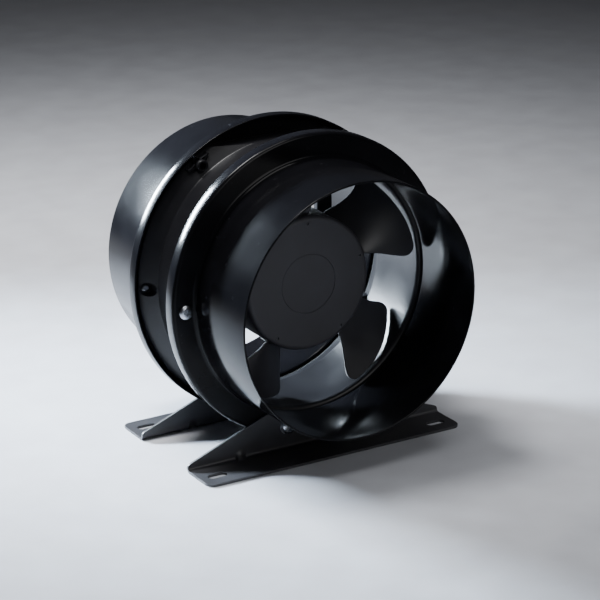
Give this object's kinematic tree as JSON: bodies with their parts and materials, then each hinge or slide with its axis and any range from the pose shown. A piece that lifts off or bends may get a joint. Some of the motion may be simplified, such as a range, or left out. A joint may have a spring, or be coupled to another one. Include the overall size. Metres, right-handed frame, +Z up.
{
  "type": "inline duct fan",
  "caption": "Inline axial duct fan: two round flanged duct collars clamp a shallow cast fan with an external rotor motor; two folded sheet feet hold it on a floor.",
  "frame": {"origin": "on the floor, under the middle of the fan", "axes": "-Y is the way the inlet faces, along the fan axis; +Z is up; +X is to the right seen from the inlet"},
  "size_m": [0.179, 0.1626, 0.1853],
  "materials": {
    "gloss_black_enamel": "gloss",
    "satin_black_powder": "satin",
    "black_cast_aluminium": "satin black paint",
    "black_can_enamel": "matte",
    "black_blade_enamel": "satin",
    "zinc_steel": "bright zinc",
    "bearing_steel": "ground",
    "electrical_steel": "laminated",
    "plain_aluminium": "as cast",
    "copper_wire": "enamelled",
    "brass_tube": "turned",
    "nylon_insulation": "moulded",
    "black_plastic": "moulded",
    "black_rubber": "moulded",
    "foam_gasket": "die cut"
  },
  "bodies": {
    "housing": {"front_spigot": "gloss_black_enamel", "rear_spigot": "gloss_black_enamel", "front_gasket": "foam_gasket", "rear_gasket": "foam_gasket", "front_bracket": "satin_black_powder", "rear_bracket": "satin_black_powder", "front_flange_screws": "zinc_steel", "rear_flange_screws": "zinc_steel", "front_bracket_screws": "zinc_steel", "rear_bracket_screws": "zinc_steel", "front_bracket_washers": "zinc_steel", "rear_bracket_washers": "zinc_steel", "front_bracket_nuts": "zinc_steel", "rear_bracket_nuts": "zinc_steel", "fan_frame": "black_cast_aluminium", "lead_grommet": "black_rubber", "bearing_tube": "brass_tube", "front_bearing_outer_ring": "bearing_steel", "rear_bearing_outer_ring": "bearing_steel", "preload_spring": "bearing_steel", "stator_core": "electrical_steel", "stator_windings": "copper_wire", "front_insulator": "nylon_insulation", "rear_insulator": "nylon_insulation", "dust_cap": "black_plastic"},
    "impeller": {"rotor_can": "black_can_enamel", "hub_cap": "black_can_enamel", "blade_1": "black_blade_enamel", "blade_2": "black_blade_enamel", "blade_3": "black_blade_enamel", "blade_4": "black_blade_enamel", "blade_5": "black_blade_enamel", "rotor_boss": "plain_aluminium", "shaft": "bearing_steel", "circlip": "bearing_steel", "front_bearing_inner_ring": "bearing_steel", "rear_bearing_inner_ring": "bearing_steel", "rotor_laminations": "electrical_steel", "rotor_bars": "plain_aluminium"},
    "front_ball_set": {"front_bearing_balls": "bearing_steel", "front_bearing_cage": "brass_tube"},
    "rear_ball_set": {"rear_bearing_balls": "bearing_steel", "rear_bearing_cage": "brass_tube"}
  },
  "joints": [
    {"name": "impeller_spin", "type": "hinge", "parent": "housing", "child": "impeller", "pos_m": [0, 0, 0.0958], "axis": [0, 1, 0], "continuous": true},
    {"name": "front_ball_orbit", "type": "hinge", "parent": "housing", "child": "front_ball_set", "pos_m": [0, 0, 0.0958], "axis": [0, 1, 0], "continuous": true},
    {"name": "rear_ball_orbit", "type": "hinge", "parent": "housing", "child": "rear_ball_set", "pos_m": [0, 0, 0.0958], "axis": [0, 1, 0], "continuous": true}
  ],
  "couplings": [
    {"joint": "front_ball_orbit", "follows": "impeller_spin", "ratio": 0.36},
    {"joint": "rear_ball_orbit", "follows": "impeller_spin", "ratio": 0.36}
  ]
}
